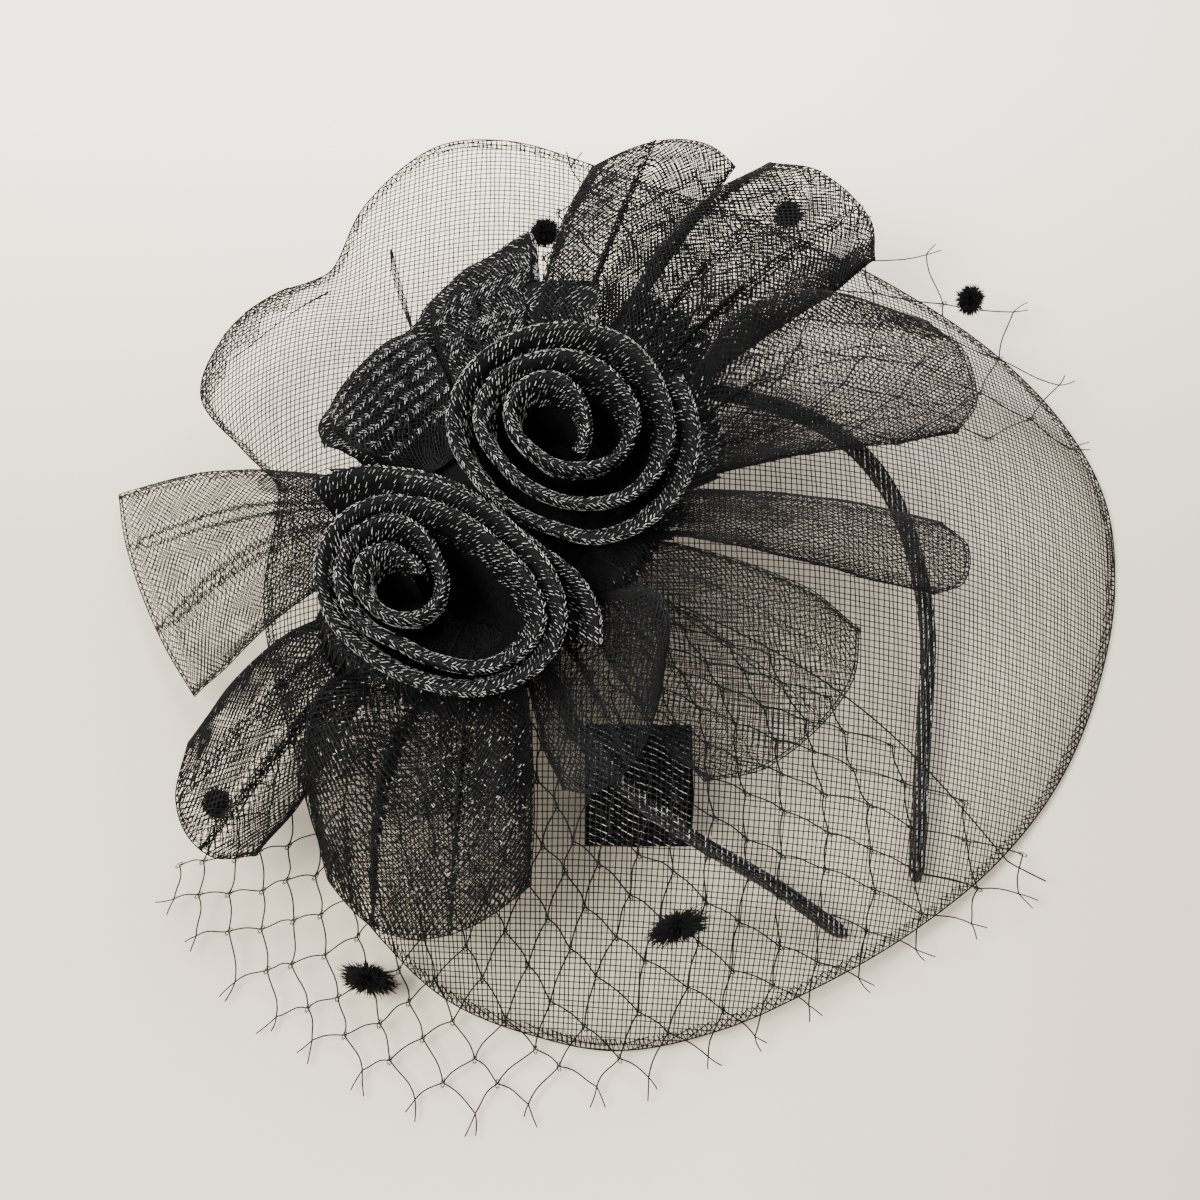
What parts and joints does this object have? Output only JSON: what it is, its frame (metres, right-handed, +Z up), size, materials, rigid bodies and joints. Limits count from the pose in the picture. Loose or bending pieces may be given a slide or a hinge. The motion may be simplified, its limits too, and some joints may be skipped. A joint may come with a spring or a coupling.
{
  "type": "flower headband on a display block",
  "caption": "Wide net brim with rolled roses, folded petals and a tufted veil on a nearly closed satin headband, resting on a small display block.",
  "frame": {"origin": "middle of the footprint, on the surface that it rests on", "axes": "+Z up, +X to the right and +Y to the back as the picture shows it"},
  "size_m": [0.2662, 0.2574, 0.0922],
  "materials": {
    "net": "satin",
    "net_roll": "satin",
    "veil_thread": "satin",
    "chenille": "matte",
    "satin": "satin",
    "felt": "matte",
    "block": "satin"
  },
  "bodies": {
    "root": {"display_block": "block", "headband": "satin", "clip_base": "felt", "brim": "net", "flower_base": "felt", "petal_left": "net", "petal_lower_left": "net", "petal_front": "net", "petal_front_fold": "net", "petal_right_low": "net", "petal_right_middle": "net", "petal_right_wide": "net", "petal_back_right": "net", "petal_back": "net", "petal_back_tip": "net", "petal_upper_left": "net", "rose_1": "net_roll", "rose_2": "net_roll", "rose_wrap": "net_roll", "veil_front": "veil_thread", "veil_back": "veil_thread", "tuft_1": "chenille", "tuft_2": "chenille", "tuft_3": "chenille", "tuft_4": "chenille", "tuft_5": "chenille", "tuft_6": "chenille"}
  },
  "joints": []
}
